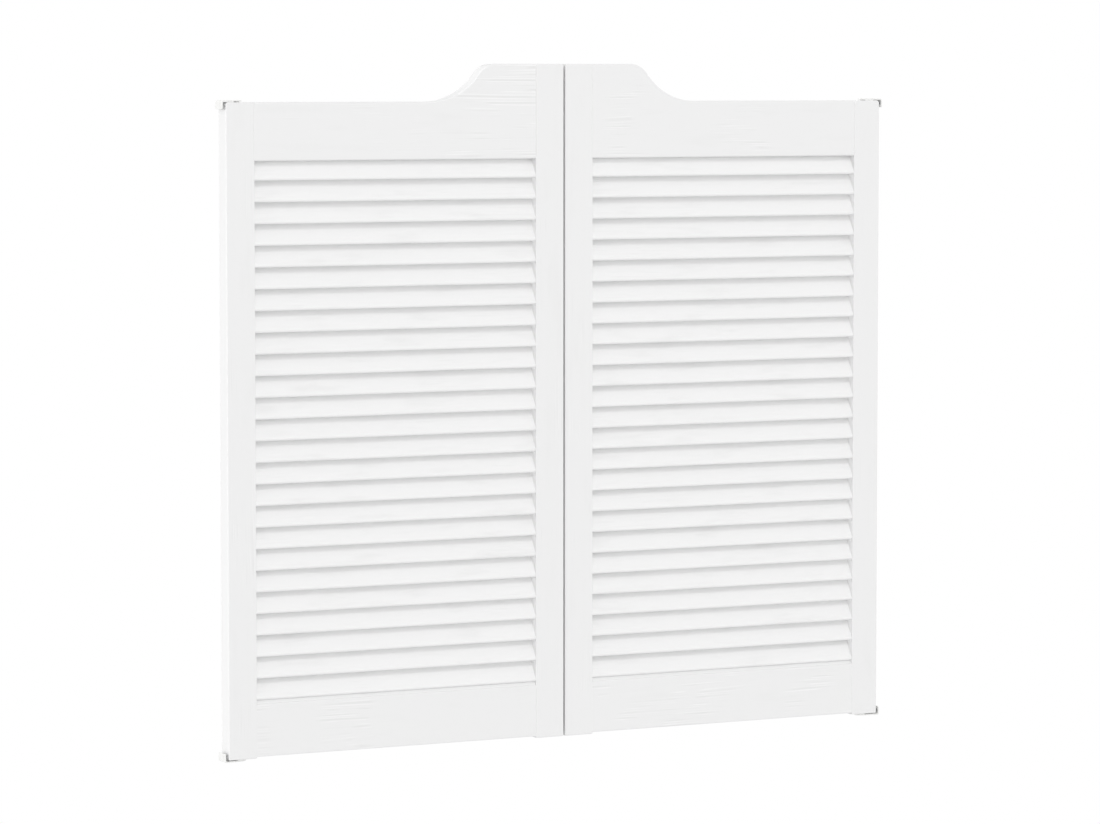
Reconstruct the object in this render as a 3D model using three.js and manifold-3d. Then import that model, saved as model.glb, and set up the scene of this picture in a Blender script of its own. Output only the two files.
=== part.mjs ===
// A pair of louvered cafe doors with double-action pivots, in millimetres, +Z up.
// The doors face -Y. The origin is on the floor of the pivot brackets, midway between the jambs.

import * as THREE from "three";
import { mergeVertices } from "three/addons/utils/BufferGeometryUtils.js";
import Module from "manifold-3d";

const wasm = await Module();
wasm.setup();

// Leaf frame
const LEAF_THICKNESS = 28.6;
const HINGE_STILE_WIDTH = 47.4;
const MEETING_STILE_WIDTH = 49.2;
const LOUVER_SPAN = 484;
const TOP_RAIL_HEIGHT = 90;
const BOTTOM_RAIL_HEIGHT = 84.6;
const RAIL_FOOT_RISE = 2.6;
const TOP_RAIL_SETBACK = 1.5;
const BOTTOM_RAIL_SETBACK = 0.6;
const MEETING_GAP = 3;
const EDGE_EASE = 1.5;
const STILE_CORNER_RADIUS = 5;

// Ogee shoulder, measured from the meeting edge
const SHOULDER_RISE = 59;
const OGEE_START = 119;
const OGEE_UPPER_RADIUS = 36;
const OGEE_LOWER_RADIUS = 107;

// Fixed louvers
const SLAT_COUNT = 25;
const SLAT_PITCH = 33.35;
const SLAT_WIDTH = 46;
const SLAT_THICKNESS = 6.5;
const SLAT_TILT = THREE.MathUtils.degToRad(30);
const LOUVER_HEADROOM = 2.25;
const HOUSING_DEPTH = 8;

// Slope on the bottom rail that beds the last slat, behind a ledge at the eased front edge
const FRONT_LEDGE = 0.5;
const SLOPE_RISE = 9;
const SLAT_BED = 0.3;

// Stub tenons on the rails
const TENON_LENGTH = 10;
const TENON_THICKNESS = 9.5;
const TENON_SHOULDER = 20;

// Pivot brackets, bent from strip
const JAMB_CLEARANCE = 6;
const STRIP_THICKNESS = 2;
const ARM_WIDTH = 16;
const LEG_WIDTH = 26;
const STRIP_CORNER_RADIUS = 3;
const BEND_INNER_RADIUS = 1.5;
const SCREW_HOLE_RADIUS = 1.9;
const COUNTERSINK_RADIUS = 3.4;
const SCREW_SPACING = 14;
const SCREW_END_DISTANCE = 6;
const SCREW_BEND_DISTANCE = 8;

// Top pin
const TOP_GAP = 1;
const TOP_PIN_RADIUS = 4;
const TOP_PIN_LENGTH = 20;
const PIN_CHAMFER = 1;

// Bottom pivot and its return spring
const SPRING_RADIUS = 6.2;
const SPRING_TURNS = 5;
const WIRE_DIAMETER = 2;
const COIL_GAP = 2;
const TANG_LENGTH = 4;
const TANG_BEND = THREE.MathUtils.degToRad(40);
const BOSS_WALL = 1.2;
const BOSS_HEIGHT = 10;
const FLANGE_LEDGE = 1.2;
const FLANGE_THICKNESS = 1.2;
const ARBOR_OVERRUN = 4;

// Clearances
const GLUE_GAP = 0.3;
const RUNNING_CLEARANCE = 0.3;
const COIL_CLEARANCE = 0.8;
const END_CLEARANCE = 2;
const OVERLAP = 3;

// Facets
const ARC_SEGMENTS = 5;
const NOSE_SEGMENTS = 5;
const ROUND_SEGMENTS = 18;
const EASE_SEGMENTS = 2;
const WIRE_SIDES = 6;
const STEPS_PER_TURN = 12;
const MERGE_TOLERANCE = 1e-4;

// Sizes that follow. A leaf is drawn as the left one: x = 0 is its pivot axis, and +x is to the meeting edge.
const TOP_RAIL_THICKNESS = LEAF_THICKNESS - 2 * TOP_RAIL_SETBACK;
const BOTTOM_RAIL_THICKNESS = LEAF_THICKNESS - 2 * BOTTOM_RAIL_SETBACK;
const LEAF_WIDTH = HINGE_STILE_WIDTH + LOUVER_SPAN + MEETING_STILE_WIDTH;
const PIVOT_INSET = HINGE_STILE_WIDTH / 2;
const OUTER_EDGE = -PIVOT_INSET;
const OPENING_START = OUTER_EDGE + HINGE_STILE_WIDTH;
const OPENING_END = OPENING_START + LOUVER_SPAN;
const MEETING_EDGE = OUTER_EDGE + LEAF_WIDTH;
const LOUVER_TOP = BOTTOM_RAIL_HEIGHT + SLAT_COUNT * SLAT_PITCH + LOUVER_HEADROOM;
const SHOULDER_HEIGHT = LOUVER_TOP + TOP_RAIL_HEIGHT;
const LEAF_HEIGHT = SHOULDER_HEIGHT + SHOULDER_RISE;
const PIVOT_X = MEETING_GAP / 2 + LEAF_WIDTH - PIVOT_INSET;
const JAMB_FACE = OUTER_EDGE - JAMB_CLEARANCE;
const LEG_LENGTH = SCREW_BEND_DISTANCE + SCREW_END_DISTANCE;
const BEND_OUTER_RADIUS = BEND_INNER_RADIUS + STRIP_THICKNESS;
const COUNTERSINK_DEPTH = COUNTERSINK_RADIUS - SCREW_HOLE_RADIUS;
const FLANGE_TOP = STRIP_THICKNESS + FLANGE_THICKNESS;
const LEAF_LIFT = FLANGE_TOP + RUNNING_CLEARANCE;
const WIRE_RADIUS = WIRE_DIAMETER / 2;
const TANG_HOLE_RADIUS = WIRE_RADIUS + GLUE_GAP;
const ARBOR_RADIUS = SPRING_RADIUS - WIRE_RADIUS - COIL_CLEARANCE;
const BOSS_RADIUS = SPRING_RADIUS + TANG_HOLE_RADIUS + BOSS_WALL;
const FLANGE_RADIUS = BOSS_RADIUS + FLANGE_LEDGE;
const PIVOT_BORE_RADIUS = BOSS_RADIUS + RUNNING_CLEARANCE;
const BOSS_TOP = FLANGE_TOP + BOSS_HEIGHT;
const SPRING_BASE = BOSS_TOP + 2 * WIRE_DIAMETER;
const SPRING_TOP = SPRING_BASE + SPRING_TURNS * (WIRE_DIAMETER + COIL_GAP);
const ARBOR_TOP = SPRING_TOP + ARBOR_OVERRUN;
const BORE_DEPTH = ARBOR_TOP + END_CLEARANCE - LEAF_LIFT;

// The slope runs parallel to the last slat, a little inside its underside, which sets that slat in height.
const SLOPE_START = EDGE_EASE + FRONT_LEDGE - BOTTOM_RAIL_THICKNESS / 2;
const SLOPE_OFFSET = SLAT_THICKNESS / 2 - SLAT_BED;
const LAST_SLAT_RISE = (SLOPE_OFFSET - SLOPE_START * Math.cos(SLAT_TILT)) / Math.sin(SLAT_TILT);

// Slat centre height in the leaf; slat 1 is the top one and slat SLAT_COUNT is bedded on the bottom rail.
function slatHeight(number) {
  return BOTTOM_RAIL_HEIGHT + LAST_SLAT_RISE + (SLAT_COUNT - number) * SLAT_PITCH;
}

// Axes that turn a drawn outline into the plane it belongs to: columns are where its x, y and depth go.
const X = new THREE.Vector3(1, 0, 0);
const Y = new THREE.Vector3(0, 1, 0);
const Z = new THREE.Vector3(0, 0, 1);
const ELEVATION_XZ = new THREE.Matrix4().makeBasis(X, Z, Y.clone().negate());
const SECTION_YZ = new THREE.Matrix4().makeBasis(Y, Z, X);

// A closed geometry as a solid that can be joined and cut
function toSolid(geometry) {
  const bare = geometry.clone();
  bare.deleteAttribute("normal");
  bare.deleteAttribute("uv");
  const merged = mergeVertices(bare, MERGE_TOLERANCE);
  const triangles = [];
  for (let i = 0; i < merged.index.count; i += 3) {
    const corners = [0, 1, 2].map((j) => merged.index.getX(i + j));
    if (new Set(corners).size === 3) triangles.push(...corners);
  }
  return new wasm.Manifold(new wasm.Mesh({
    numProp: 3,
    vertProperties: merged.attributes.position.array,
    triVerts: new Uint32Array(triangles),
  }));
}

function toGeometry(solid) {
  const mesh = solid.getMesh();
  const geometry = new THREE.BufferGeometry();
  geometry.setAttribute("position", new THREE.BufferAttribute(mesh.vertProperties, 3));
  geometry.setIndex(new THREE.BufferAttribute(mesh.triVerts, 1));
  return geometry;
}

function box(width, depth, height, x, y, z) {
  return toSolid(new THREE.BoxGeometry(width, depth, height).translate(x, y, z));
}

// A round bar, or a cone, along +Z from its base
function bar(baseRadius, topRadius, length) {
  const geometry = new THREE.CylinderGeometry(topRadius, baseRadius, length, ROUND_SEGMENTS);
  return geometry.rotateX(Math.PI / 2).translate(0, 0, length / 2);
}

function extrude(outline, depth) {
  return new THREE.ExtrudeGeometry(outline, { depth, bevelEnabled: false, curveSegments: ARC_SEGMENTS });
}

// A board with eased edges, from its outline seen from the front
function board(outline, thickness) {
  const depth = thickness - 2 * EDGE_EASE;
  const geometry = new THREE.ExtrudeGeometry(outline, {
    depth,
    curveSegments: ARC_SEGMENTS,
    bevelThickness: EDGE_EASE,
    bevelSize: EDGE_EASE,
    bevelOffset: -EDGE_EASE,
    bevelSegments: EASE_SEGMENTS,
  });
  return toSolid(geometry.applyMatrix4(ELEVATION_XZ).translate(0, depth / 2, 0));
}

// The slat's section: a flat strip with round edges, tilted so that its lower edge is at the front
function slatSection(clearance) {
  const radius = SLAT_THICKNESS / 2 + clearance;
  const halfSpan = (SLAT_WIDTH - SLAT_THICKNESS) / 2;
  const ends = [[halfSpan, -SLAT_TILT], [-halfSpan, Math.PI - SLAT_TILT]];
  const points = [];
  for (const [reach, start] of ends) {
    const y = reach * Math.sin(SLAT_TILT);
    const z = reach * Math.cos(SLAT_TILT);
    for (let i = 0; i <= NOSE_SEGMENTS; i++) {
      const angle = start + Math.PI * i / NOSE_SEGMENTS;
      points.push(new THREE.Vector2(y + radius * Math.cos(angle), z + radius * Math.sin(angle)));
    }
  }
  return new THREE.Shape(points);
}

// A length of slat section along X, from start to end
function slatLength(clearance, start, end) {
  const geometry = extrude(slatSection(clearance), end - start);
  return geometry.applyMatrix4(SECTION_YZ).translate(start, 0, 0);
}

function slatGeometry() {
  const entry = HOUSING_DEPTH - GLUE_GAP;
  return slatLength(0, OPENING_START - entry, OPENING_END + entry);
}

// A tenon, or the mortise for it, that reaches from the stile's inner edge into the stile
function tenon(edge, direction, bottom, top, clearance) {
  const length = TENON_LENGTH + clearance;
  const x = edge + direction * (length - OVERLAP) / 2;
  const height = top - bottom - 2 * TENON_SHOULDER + 2 * clearance;
  return box(length + OVERLAP, TENON_THICKNESS + 2 * clearance, height, x, 0, (bottom + top) / 2);
}

// Cut the slat housings and the two mortises into the inner edge of a stile.
function houseStile(stile, edge, direction, height) {
  const mouth = edge - direction * OVERLAP;
  const floor = edge + direction * HOUSING_DEPTH;
  const housing = slatLength(GLUE_GAP, Math.min(mouth, floor), Math.max(mouth, floor));
  let cut = stile.subtract(tenon(edge, direction, RAIL_FOOT_RISE, BOTTOM_RAIL_HEIGHT, GLUE_GAP));
  cut = cut.subtract(tenon(edge, direction, LOUVER_TOP, height, GLUE_GAP));
  for (let number = 1; number <= SLAT_COUNT; number++) {
    cut = cut.subtract(toSolid(housing.clone().translate(0, 0, slatHeight(number))));
  }
  return cut;
}

// A stile's outline: square at the foot and at the rail, round at its free top corner
function stileOutline(innerEdge, freeEdge, height) {
  const inward = Math.sign(innerEdge - freeEdge);
  const centre = freeEdge + inward * STILE_CORNER_RADIUS;
  const toFree = inward > 0 ? Math.PI : 0;
  const outline = new THREE.Shape();
  outline.moveTo(innerEdge, 0);
  outline.lineTo(innerEdge, height);
  outline.absarc(centre, height - STILE_CORNER_RADIUS, STILE_CORNER_RADIUS, Math.PI / 2, toFree, inward < 0);
  outline.lineTo(freeEdge, 0);
  return outline;
}

function hingeStile() {
  const blank = board(stileOutline(OPENING_START, OUTER_EDGE, SHOULDER_HEIGHT), LEAF_THICKNESS);
  let stile = houseStile(blank, OPENING_START, -1, SHOULDER_HEIGHT);
  const pinBoreRadius = TOP_PIN_RADIUS + RUNNING_CLEARANCE;
  const pinBoreDepth = TOP_PIN_LENGTH - TOP_GAP + END_CLEARANCE;
  const pinBore = bar(pinBoreRadius, pinBoreRadius, pinBoreDepth + OVERLAP);
  stile = stile.subtract(toSolid(pinBore.translate(0, 0, SHOULDER_HEIGHT - pinBoreDepth)));
  const pivotBore = bar(PIVOT_BORE_RADIUS, PIVOT_BORE_RADIUS, BORE_DEPTH + OVERLAP);
  stile = stile.subtract(toSolid(pivotBore.translate(0, 0, -OVERLAP)));
  const tangHole = bar(TANG_HOLE_RADIUS, TANG_HOLE_RADIUS, OVERLAP + TANG_LENGTH + END_CLEARANCE);
  return stile.subtract(toSolid(tangHole.translate(SPRING_RADIUS, 0, BORE_DEPTH - OVERLAP)));
}

function meetingStile() {
  const blank = board(stileOutline(OPENING_END, MEETING_EDGE, LEAF_HEIGHT), LEAF_THICKNESS);
  return houseStile(blank, OPENING_END, 1, LEAF_HEIGHT);
}

// The top rail's outline: low by the hinge stile, rising through two tangent arcs to the meeting stile
function topRailOutline(start, end) {
  const radii = OGEE_UPPER_RADIUS + OGEE_LOWER_RADIUS;
  const sweep = Math.acos(1 - SHOULDER_RISE / radii);
  const crest = MEETING_EDGE - OGEE_START;
  const foot = crest - radii * Math.sin(sweep);
  const quarter = Math.PI / 2;
  const outline = new THREE.Shape();
  outline.moveTo(start, LOUVER_TOP);
  outline.lineTo(end, LOUVER_TOP);
  outline.lineTo(end, LEAF_HEIGHT);
  const crestCentre = LEAF_HEIGHT - OGEE_UPPER_RADIUS;
  outline.absarc(crest, crestCentre, OGEE_UPPER_RADIUS, quarter, quarter + sweep, false);
  const footCentre = SHOULDER_HEIGHT + OGEE_LOWER_RADIUS;
  outline.absarc(foot, footCentre, OGEE_LOWER_RADIUS, sweep - quarter, -quarter, true);
  outline.lineTo(start, SHOULDER_HEIGHT);
  return outline;
}

// The first slat is glued up with the top rail, which its upper edge runs into.
function topRail() {
  const outline = topRailOutline(OPENING_START + GLUE_GAP, OPENING_END - GLUE_GAP);
  return board(outline, TOP_RAIL_THICKNESS)
    .add(tenon(OPENING_START, -1, LOUVER_TOP, SHOULDER_HEIGHT, 0))
    .add(tenon(OPENING_END, 1, LOUVER_TOP, LEAF_HEIGHT, 0))
    .add(toSolid(slatGeometry().translate(0, 0, slatHeight(1))));
}

// The bottom rail's section: its front edge is low, and a slope behind it rises to the back
function bottomRailSection() {
  const inset = BOTTOM_RAIL_THICKNESS / 2 - EDGE_EASE;
  const bottom = RAIL_FOOT_RISE + EDGE_EASE;
  const frontTop = BOTTOM_RAIL_HEIGHT;
  const backTop = BOTTOM_RAIL_HEIGHT + SLOPE_RISE;
  const quarter = Math.PI / 2;
  const section = new THREE.Shape();
  section.moveTo(SLOPE_START + SLOPE_RISE * Math.tan(SLAT_TILT), backTop);
  section.lineTo(SLOPE_START, frontTop);
  section.absarc(-inset, frontTop - EDGE_EASE, EDGE_EASE, quarter, Math.PI, false);
  section.absarc(-inset, bottom, EDGE_EASE, Math.PI, 3 * quarter, false);
  section.absarc(inset, bottom, EDGE_EASE, -quarter, 0, false);
  section.absarc(inset, backTop - EDGE_EASE, EDGE_EASE, 0, quarter, false);
  return section;
}

// The last slat is glued up with the bottom rail, on the slope behind the rail's front edge.
function bottomRail() {
  const start = OPENING_START + GLUE_GAP;
  const rail = extrude(bottomRailSection(), OPENING_END - GLUE_GAP - start);
  return toSolid(rail.applyMatrix4(SECTION_YZ).translate(start, 0, 0))
    .add(tenon(OPENING_START, -1, RAIL_FOOT_RISE, BOTTOM_RAIL_HEIGHT, 0))
    .add(tenon(OPENING_END, 1, RAIL_FOOT_RISE, BOTTOM_RAIL_HEIGHT, 0))
    .add(toSolid(slatGeometry().translate(0, 0, slatHeight(SLAT_COUNT))));
}

// The bent strip seen from the front: an arm along the floor and a leg up the jamb
function stripProfile() {
  const arm = ARM_WIDTH / 2;
  const bend = JAMB_FACE + BEND_OUTER_RADIUS;
  const profile = new THREE.Shape();
  profile.moveTo(bend, 0);
  profile.lineTo(arm, 0);
  profile.lineTo(arm, STRIP_THICKNESS);
  profile.absarc(bend, BEND_OUTER_RADIUS, BEND_INNER_RADIUS, -Math.PI / 2, -Math.PI, true);
  profile.lineTo(JAMB_FACE + STRIP_THICKNESS, LEG_LENGTH);
  profile.lineTo(JAMB_FACE, LEG_LENGTH);
  profile.absarc(bend, BEND_OUTER_RADIUS, BEND_OUTER_RADIUS, Math.PI, 1.5 * Math.PI, false);
  return profile;
}

// The strip seen from above: its arm narrows from the leg and ends in a half round about the pivot
function stripPlan() {
  const bend = JAMB_FACE + BEND_OUTER_RADIUS;
  const plan = new THREE.Shape();
  plan.moveTo(JAMB_FACE, -LEG_WIDTH / 2);
  plan.lineTo(bend, -LEG_WIDTH / 2);
  plan.lineTo(0, -ARM_WIDTH / 2);
  plan.absarc(0, 0, ARM_WIDTH / 2, -Math.PI / 2, Math.PI / 2, false);
  plan.lineTo(bend, LEG_WIDTH / 2);
  plan.lineTo(JAMB_FACE, LEG_WIDTH / 2);
  return plan;
}

// The strip seen along X: its leg has rounded corners at the end
function stripEndView() {
  const side = LEG_WIDTH / 2;
  const inset = side - STRIP_CORNER_RADIUS;
  const level = LEG_LENGTH - STRIP_CORNER_RADIUS;
  const view = new THREE.Shape();
  view.moveTo(-side, 0);
  view.lineTo(side, 0);
  view.absarc(inset, level, STRIP_CORNER_RADIUS, 0, Math.PI / 2, false);
  view.absarc(-inset, level, STRIP_CORNER_RADIUS, Math.PI / 2, Math.PI, false);
  return view;
}

// A countersunk screw hole through the leg, with its wide mouth on the leaf's side
function screwHole(y) {
  const hole = bar(SCREW_HOLE_RADIUS, SCREW_HOLE_RADIUS, STRIP_THICKNESS + 2 * OVERLAP);
  const cone = bar(SCREW_HOLE_RADIUS, COUNTERSINK_RADIUS + OVERLAP, COUNTERSINK_DEPTH + OVERLAP);
  const holeSolid = toSolid(hole.rotateY(Math.PI / 2).translate(JAMB_FACE - OVERLAP, y, SCREW_BEND_DISTANCE));
  const coneStart = JAMB_FACE + STRIP_THICKNESS - COUNTERSINK_DEPTH;
  return holeSolid.add(toSolid(cone.rotateY(Math.PI / 2).translate(coneStart, y, SCREW_BEND_DISTANCE)));
}

function bentStrip() {
  const reach = ARM_WIDTH / 2 - JAMB_FACE;
  const side = extrude(stripProfile(), LEG_WIDTH);
  side.applyMatrix4(ELEVATION_XZ).translate(0, LEG_WIDTH / 2, 0);
  const plan = extrude(stripPlan(), LEG_LENGTH);
  const end = extrude(stripEndView(), reach).applyMatrix4(SECTION_YZ).translate(JAMB_FACE, 0, 0);
  return toSolid(side)
    .intersect(toSolid(plan))
    .intersect(toSolid(end))
    .subtract(screwHole(-SCREW_SPACING / 2))
    .subtract(screwHole(SCREW_SPACING / 2));
}

// A turned pin about the pivot axis, from its outline of radius against height
function turned(outline) {
  const points = outline.map(([radius, height]) => new THREE.Vector2(radius, height));
  return toSolid(new THREE.LatheGeometry(points, ROUND_SEGMENTS).rotateX(Math.PI / 2));
}

// The top bracket is the bent strip turned upside down, with a pin that hangs from its arm.
function topBracket() {
  const pin = turned([
    [0, 0],
    [TOP_PIN_RADIUS, 0],
    [TOP_PIN_RADIUS, STRIP_THICKNESS + TOP_PIN_LENGTH - PIN_CHAMFER],
    [TOP_PIN_RADIUS - PIN_CHAMFER, STRIP_THICKNESS + TOP_PIN_LENGTH],
    [0, STRIP_THICKNESS + TOP_PIN_LENGTH],
  ]);
  return toGeometry(bentStrip().add(pin)).rotateX(Math.PI);
}

// The bottom bracket carries a flange that the leaf turns on, a boss in its bore and an arbor in the spring.
function bottomBracket() {
  const pivot = turned([
    [0, 0],
    [FLANGE_RADIUS, 0],
    [FLANGE_RADIUS, FLANGE_TOP],
    [BOSS_RADIUS, FLANGE_TOP],
    [BOSS_RADIUS, BOSS_TOP],
    [ARBOR_RADIUS, BOSS_TOP],
    [ARBOR_RADIUS, ARBOR_TOP - PIN_CHAMFER],
    [ARBOR_RADIUS - PIN_CHAMFER, ARBOR_TOP],
    [0, ARBOR_TOP],
  ]);
  const tangHole = bar(TANG_HOLE_RADIUS, TANG_HOLE_RADIUS, TANG_LENGTH + GLUE_GAP + OVERLAP);
  const hole = toSolid(tangHole.translate(SPRING_RADIUS, 0, BOSS_TOP - TANG_LENGTH - GLUE_GAP));
  return toGeometry(bentStrip().add(pivot).subtract(hole));
}

// The torsion spring, in the leaf: one straight tang down into the boss, the other up into the stile
function returnSpring() {
  const turn = 2 * Math.PI * SPRING_TURNS;
  const at = (angle, z) => new THREE.Vector3(SPRING_RADIUS, 0, z).applyAxisAngle(Z, angle);
  const points = [at(0, BOSS_TOP - TANG_LENGTH), at(0, BOSS_TOP), at(0, BOSS_TOP + WIRE_RADIUS)];
  const steps = SPRING_TURNS * STEPS_PER_TURN;
  for (let i = 0; i <= steps; i++) {
    const along = i / steps;
    const angle = TANG_BEND + (turn - 2 * TANG_BEND) * along;
    points.push(at(angle, SPRING_BASE + (SPRING_TOP - SPRING_BASE) * along));
  }
  points.push(at(turn, LEAF_LIFT + BORE_DEPTH), at(turn, LEAF_LIFT + BORE_DEPTH + TANG_LENGTH));
  const section = new THREE.Shape().absarc(0, 0, WIRE_RADIUS, 0, 2 * Math.PI, false);
  const wire = new THREE.ExtrudeGeometry(section, {
    extrudePath: new THREE.CatmullRomCurve3(points),
    steps: points.length - 1,
    curveSegments: WIRE_SIDES / 2,
    bevelEnabled: false,
  });
  return toGeometry(toSolid(wire)).translate(0, 0, -LEAF_LIFT);
}

// The same shape on the other side of the middle: x is negated and each triangle keeps facing out.
function mirrored(geometry) {
  const copy = geometry.clone().scale(-1, 1, 1);
  const index = copy.index ?? copy.setIndex([...Array(copy.attributes.position.count).keys()]).index;
  for (let i = 0; i < index.count; i += 3) {
    const second = index.getX(i + 1);
    index.setX(i + 1, index.getX(i + 2));
    index.setX(i + 2, second);
  }
  return copy;
}

function addMesh(group, name, geometry, finish, z = 0) {
  const mesh = new THREE.Mesh(geometry, new THREE.MeshStandardMaterial(finish));
  mesh.name = name;
  mesh.position.z = z;
  group.add(mesh);
}

const FRAME_PAINT = { color: 0xf1f1ef, roughness: 0.45, metalness: 0 };
const SLAT_PAINT = { color: 0xf4f4f2, roughness: 0.42, metalness: 0 };
const BRACKET_PAINT = { color: 0xeeeeec, roughness: 0.35, metalness: 0.1 };
const SPRING_STEEL = { color: 0x8d9196, roughness: 0.3, metalness: 1 };

const frameShapes = {
  hinge_stile: toGeometry(hingeStile()),
  meeting_stile: toGeometry(meetingStile()),
  top_rail: toGeometry(topRail()),
  bottom_rail: toGeometry(bottomRail()),
};
const slatShape = toGeometry(toSolid(slatGeometry()));
const springShape = returnSpring();
const topBracketShape = topBracket();
const bottomBracketShape = bottomBracket();
const topBracketHeight = LEAF_LIFT + SHOULDER_HEIGHT + TOP_GAP + STRIP_THICKNESS;

function leaf(side, place) {
  const group = new THREE.Group();
  for (const [name, shape] of Object.entries(frameShapes)) {
    addMesh(group, `${side}_${name}`, place(shape), FRAME_PAINT);
  }
  for (let number = 2; number < SLAT_COUNT; number++) {
    const label = String(number).padStart(2, "0");
    addMesh(group, `${side}_slat_${label}`, place(slatShape), SLAT_PAINT, slatHeight(number));
  }
  addMesh(group, `${side}_return_spring`, place(springShape), SPRING_STEEL);
  group.position.z = LEAF_LIFT;
  return group;
}

function doorHalf(side, place) {
  const half = new THREE.Group();
  half.add(leaf(side, place));
  addMesh(half, `${side}_top_bracket`, place(topBracketShape), BRACKET_PAINT, topBracketHeight);
  addMesh(half, `${side}_bottom_bracket`, place(bottomBracketShape), BRACKET_PAINT);
  return half;
}

const leftHalf = doorHalf("left", (shape) => shape.clone());
leftHalf.position.x = -PIVOT_X;
const rightHalf = doorHalf("right", mirrored);
rightHalf.position.x = PIVOT_X;

const doors = new THREE.Group();
doors.add(leftHalf, rightHalf);

export default doors;
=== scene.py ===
"""Looks for a pair of white louvered cafe doors on sprung pivots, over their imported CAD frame.
Metres, +Z up."""
import math

import bpy
import numpy as np
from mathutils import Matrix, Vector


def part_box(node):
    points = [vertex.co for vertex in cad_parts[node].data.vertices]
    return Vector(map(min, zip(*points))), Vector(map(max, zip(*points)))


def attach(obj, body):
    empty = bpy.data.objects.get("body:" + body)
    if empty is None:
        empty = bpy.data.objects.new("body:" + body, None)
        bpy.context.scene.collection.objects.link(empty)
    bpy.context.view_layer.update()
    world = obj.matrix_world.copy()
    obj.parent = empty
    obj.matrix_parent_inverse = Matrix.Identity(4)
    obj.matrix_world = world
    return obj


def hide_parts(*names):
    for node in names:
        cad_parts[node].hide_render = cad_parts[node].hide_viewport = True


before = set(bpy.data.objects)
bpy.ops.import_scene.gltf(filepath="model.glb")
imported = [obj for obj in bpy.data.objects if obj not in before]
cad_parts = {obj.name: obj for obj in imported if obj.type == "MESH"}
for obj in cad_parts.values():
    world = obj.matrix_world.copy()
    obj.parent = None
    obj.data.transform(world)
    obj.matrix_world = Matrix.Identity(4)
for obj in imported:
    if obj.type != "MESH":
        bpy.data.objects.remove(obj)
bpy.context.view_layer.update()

MM = 0.001
SIDES = {"left": -1, "right": 1}

# Leaf frame
TOP_RAIL_HEIGHT = 90 * MM
BOTTOM_RAIL_HEIGHT = 84.6 * MM
RAIL_FOOT_RISE = 2.6 * MM
TOP_RAIL_SETBACK = 1.5 * MM
BOTTOM_RAIL_SETBACK = 0.6 * MM
SLOPE_RISE = 9 * MM
ARRIS_RADIUS = 1.8 * MM
JOINT_ARRIS_RADIUS = 2.5 * MM
LOUVER_ARRIS_RADIUS = 0.8 * MM
ARRIS_RUN_OUT = 4 * MM
MEETING_ARRIS_RADIUS = 1.2 * MM
RAIL_ARRIS_RADIUS = 2.5 * MM
RAIL_FRONT_RADIUS = 1.5 * MM
SLOPE_RADIUS = 0.6 * MM
FOOT_RADIUS = 1.5 * MM
TOP_CORNER_RADIUS = 5 * MM
RAIL_ENTRY = 1.2 * MM

# Ogee shoulder of the top rail, measured from the meeting edge
OGEE_START = 119 * MM
OGEE_UPPER_RADIUS = 36 * MM
OGEE_LOWER_RADIUS = 107 * MM

# Louvers
SLAT_COUNT = 25
SLAT_THICKNESS = 6.5 * MM
SLAT_WIDTH = 46 * MM
SLAT_TILT = math.radians(30)
SLAT_ENTRY = 3 * MM
SLAT_BED = 0.3 * MM

# Pivot brackets
STRIP_THICKNESS = 2 * MM
STRIP_EDGE_RADIUS = 0.5 * MM
STRIP_CORNER_RADIUS = 3 * MM
ARM_WIDTH = 16 * MM
LEG_LENGTH = 14 * MM
BEND_RADIUS = 3.5 * MM
PIN_RADIUS = 4 * MM
PIN_LENGTH = 20 * MM
PIN_CHAMFER = 1 * MM
PIN_CORE_RADIUS = 0.2 * MM
RIVET_RISE = 0.4 * MM
FLANGE_RADIUS = 9.9 * MM
FLANGE_TOP = 3.2 * MM
BOSS_RADIUS = 8.7 * MM
BOSS_TOP = 13.2 * MM
ARBOR_RADIUS = 4.4 * MM
ARBOR_TOP = 41.2 * MM
RUNNING_CLEARANCE = 0.3 * MM
END_CLEARANCE = 2 * MM

# Bracket screws, side by side near the end of the leg
SCREW_END_DISTANCE = 6 * MM
SCREW_SPACING = 14 * MM
SCREW_RADIUS = 3.2 * MM
SCREW_SEAT = 0.8 * MM
SCREW_DOME = 0.5 * MM
RECESS_REACH = 2 * MM
RECESS_HALF_WIDTH = 0.5 * MM
RECESS_DEPTH = 0.9 * MM
RECESS_SOFT_SHARE = 0.3
SCREW_CORE_SHARE = 0.03

# Facets
ARC_STEPS = 6
FLAT_STEPS = 6
END_STEPS = 10
RUN_STEPS = 24
OGEE_STEPS = 120
PIVOT_FACETS = 48
SCREW_FACETS = 96
SCREW_STEPS = 28
FLOOR_FACETS = 96
SMOOTH_ANGLE = math.radians(38)

# Camera of the photograph
CAMERA_PLACE = (-3.3905, -6.4917, 1.0544)
CAMERA_YAW = math.radians(27.449)
CAMERA_DROP = math.radians(4.166)
LENS_MM = 151.1
SENSOR_MM = 36

# Studio
FLOOR_DROP = 0.36
FLOOR_RADIUS = 14
FLOOR_FADE_START = 0.75
FLOOR_FADE_END = 1.7
FLOOR_FADE_DEPTH = 0.6
PAPER_DARK = (0.89, 0.89, 0.89, 1)
PAPER_LIGHT = (0.92, 0.92, 0.92, 1)
PAPER_SCALE = 60
PLAIN_WHITE = (1, 1, 1, 1)
AMBIENT_STRENGTH = 0.757
KEY_STRENGTH = 0.132
KEY_TURN = math.radians(0)
KEY_RISE = math.radians(43)
KEY_SPREAD = math.radians(11)
FILL_STRENGTH = 0.170
FILL_TURN = math.radians(-10)
FILL_RISE = math.radians(8)
FILL_SPREAD = math.radians(50)
RIM_STRENGTH = 0.288
RIM_TURN = math.radians(-97)
RIM_RISE = math.radians(6)
RIM_SPREAD = math.radians(14)


# Shader arithmetic

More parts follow.
